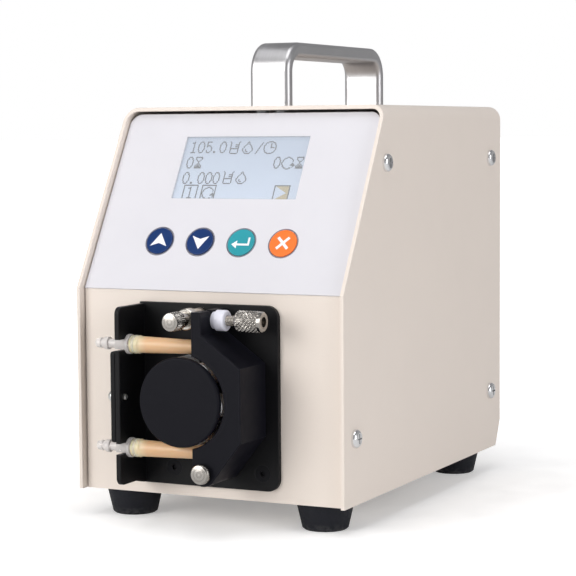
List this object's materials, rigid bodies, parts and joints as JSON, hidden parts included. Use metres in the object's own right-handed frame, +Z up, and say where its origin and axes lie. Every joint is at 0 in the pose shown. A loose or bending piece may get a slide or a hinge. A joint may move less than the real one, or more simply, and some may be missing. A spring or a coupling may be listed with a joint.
{
  "type": "peristaltic pump",
  "caption": "Benchtop peristaltic pump: sloping keypad and display on a folded sheet case with a carrying handle, and a roller pump head with swing clamp, latch and barbed tube ends.",
  "frame": {"origin": "on the floor under the middle of the whole pump, feet at zero height", "axes": "+X to the right seen from the front, +Y to the back, +Z up; the keypad and pump head face -Y"},
  "size_m": [0.147, 0.2392, 0.231],
  "materials": {
    "case_paint": "cream powder coat with a fine texture",
    "chromed_screws": "bright chrome",
    "foot_rubber": "matt black rubber",
    "zinc_screws": "zinc plated",
    "brushed_handle": "brushed along its length",
    "overlay_film": "fine satin film",
    "display_window": "clear, glossy",
    "display_panel": "lit dot-matrix display",
    "key_blue": "blue print under satin film",
    "key_teal": "teal print under satin film",
    "key_orange": "orange print under satin film",
    "circuit_board": "green circuit board",
    "black_coat": "satin black powder coat",
    "black_screws": "black oxide",
    "bronze": "sintered bronze",
    "black_anodised": "black anodised, satin",
    "roller_steel": "ground steel",
    "raw_aluminium": "machined",
    "motor_black": "black lacquer",
    "pump_tube": "cream elastomer, a little translucent",
    "clear_plastic": "clear moulded plastic",
    "nickel": "nickel plated",
    "white_plastic": "turned white plastic",
    "black_plastic": "moulded black plastic",
    "contact_metal": "tinned contacts",
    "port_metal": "tinned shell"
  },
  "bodies": {
    "housing": {"cover": "case_paint", "chassis": "case_paint", "rear_panel": "case_paint", "cover_screws": "chromed_screws", "foot_front_left": "foot_rubber", "foot_front_right": "foot_rubber", "foot_rear_left": "foot_rubber", "foot_rear_right": "foot_rubber", "foot_screws": "zinc_screws", "handle": "brushed_handle", "handle_screws": "zinc_screws", "membrane_overlay": "overlay_film", "display_window": "display_window", "display_module": "display_panel", "control_board": "circuit_board", "board_spacers": "zinc_screws", "head_plate": "black_coat", "plate_screws": "black_screws", "tube_clip": "black_coat", "clip_screw": "zinc_screws", "shaft_bush": "bronze", "motor_bracket": "raw_aluminium", "motor_screws": "black_screws", "motor": "motor_black", "pump_tube": "pump_tube", "connector_inlet": "clear_plastic", "connector_outlet": "clear_plastic", "tube_bands": "clear_plastic", "latch_spacer": "nickel", "power_inlet": "black_plastic", "inlet_pins": "contact_metal", "rear_screws": "zinc_screws", "switch_frame": "black_plastic", "control_port": "port_metal", "port_posts": "zinc_screws", "supply_spacers": "zinc_screws", "power_supply": "circuit_board"},
    "rotor": {"rotor_hub": "black_anodised", "rotor_cap": "black_anodised", "roller_pins": "roller_steel", "motor_shaft": "roller_steel"},
    "clamp": {"clamp_block": "black_anodised"},
    "pivot_thumb_screw": {"pivot_screw": "nickel"},
    "latch_thumb_screw": {"latch_screw": "nickel"},
    "swing_bolt": {"latch_bolt": "nickel"},
    "swing_bush": {"latch_bush": "white_plastic"},
    "swing_nut": {"latch_nut": "nickel"},
    "rocker": {"power_rocker": "black_plastic"},
    "key_up": {"key_up": "key_blue"},
    "key_down": {"key_down": "key_blue"},
    "key_enter": {"key_enter": "key_teal"},
    "key_escape": {"key_escape": "key_orange"},
    "roller_1": {"roller_1": "roller_steel"},
    "roller_2": {"roller_2": "roller_steel"},
    "roller_3": {"roller_3": "roller_steel"},
    "roller_4": {"roller_4": "roller_steel"},
    "roller_5": {"roller_5": "roller_steel"},
    "roller_6": {"roller_6": "roller_steel"}
  },
  "joints": [
    {"name": "rotor_spin", "type": "hinge", "parent": "housing", "child": "rotor", "pos_m": [0, -0.08885, 0.0628], "axis": [0, 1, 0], "continuous": true},
    {"name": "roller_1_spin", "type": "hinge", "parent": "rotor", "child": "roller_1", "pos_m": [0.01554, -0.09315, 0.06144], "axis": [0, 1, 0], "continuous": true},
    {"name": "roller_2_spin", "type": "hinge", "parent": "rotor", "child": "roller_2", "pos_m": [0.00895, -0.09315, 0.07558], "axis": [0, 1, 0], "continuous": true},
    {"name": "roller_3_spin", "type": "hinge", "parent": "rotor", "child": "roller_3", "pos_m": [-0.00659, -0.09315, 0.07694], "axis": [0, 1, 0], "continuous": true},
    {"name": "roller_4_spin", "type": "hinge", "parent": "rotor", "child": "roller_4", "pos_m": [-0.01554, -0.09315, 0.06416], "axis": [0, 1, 0], "continuous": true},
    {"name": "roller_5_spin", "type": "hinge", "parent": "rotor", "child": "roller_5", "pos_m": [-0.00895, -0.09315, 0.05002], "axis": [0, 1, 0], "continuous": true},
    {"name": "roller_6_spin", "type": "hinge", "parent": "rotor", "child": "roller_6", "pos_m": [0.00659, -0.09315, 0.04866], "axis": [0, 1, 0], "continuous": true},
    {"name": "swing_bolt_lift", "type": "hinge", "parent": "housing", "child": "swing_bolt", "pos_m": [-0.003, -0.10235, 0.1], "axis": [0, -1, 0], "range_deg": [0, 100]},
    {"name": "bush_slide", "type": "slide", "parent": "swing_bolt", "child": "swing_bush", "axis": [1, 0, 0], "range_m": [0, 0.004]},
    {"name": "nut_turn", "type": "hinge", "parent": "swing_bush", "child": "swing_nut", "pos_m": [0.0232, -0.10235, 0.1], "axis": [1, 0, 0], "range_deg": [0, 1800]},
    {"name": "clamp_swing", "type": "hinge", "parent": "housing", "child": "clamp", "pos_m": [0.011, -0.08885, 0.0304], "axis": [0, 1, 0], "range_deg": [0, 3]},
    {"name": "pivot_screw_turn", "type": "hinge", "parent": "housing", "child": "pivot_thumb_screw", "pos_m": [0.011, -0.08885, 0.0304], "axis": [0, 1, 0], "range_deg": [-180, 180]},
    {"name": "latch_screw_turn", "type": "hinge", "parent": "housing", "child": "latch_thumb_screw", "pos_m": [-0.003, -0.08885, 0.1], "axis": [0, 1, 0], "range_deg": [-180, 180]},
    {"name": "key_up_press", "type": "slide", "parent": "housing", "child": "key_up", "axis": [0, 0.8649, -0.502], "range_m": [0, 0.0004], "stiffness_N_per_m": 800},
    {"name": "key_down_press", "type": "slide", "parent": "housing", "child": "key_down", "axis": [0, 0.8649, -0.502], "range_m": [0, 0.0004], "stiffness_N_per_m": 800},
    {"name": "key_enter_press", "type": "slide", "parent": "housing", "child": "key_enter", "axis": [0, 0.8649, -0.502], "range_m": [0, 0.0004], "stiffness_N_per_m": 800},
    {"name": "key_escape_press", "type": "slide", "parent": "housing", "child": "key_escape", "axis": [0, 0.8649, -0.502], "range_m": [0, 0.0004], "stiffness_N_per_m": 800},
    {"name": "power_rocker_tilt", "type": "hinge", "parent": "housing", "child": "rocker", "pos_m": [0.022, 0.10965, 0.0575], "axis": [0, 0, -1], "range_deg": [0, 14]}
  ],
  "couplings": [
    {"joint": "roller_1_spin", "follows": "rotor_spin", "ratio": -3.8889},
    {"joint": "roller_2_spin", "follows": "rotor_spin", "ratio": -3.8889},
    {"joint": "roller_3_spin", "follows": "rotor_spin", "ratio": -3.8889},
    {"joint": "roller_4_spin", "follows": "rotor_spin", "ratio": -3.8889},
    {"joint": "roller_5_spin", "follows": "rotor_spin", "ratio": -3.8889},
    {"joint": "roller_6_spin", "follows": "rotor_spin", "ratio": -3.8889},
    {"joint": "nut_turn", "follows": "bush_slide", "rad_per_m": 7853.2},
    {"joint": "clamp_swing", "follows": "bush_slide", "rad_per_m": 13.089}
  ]
}
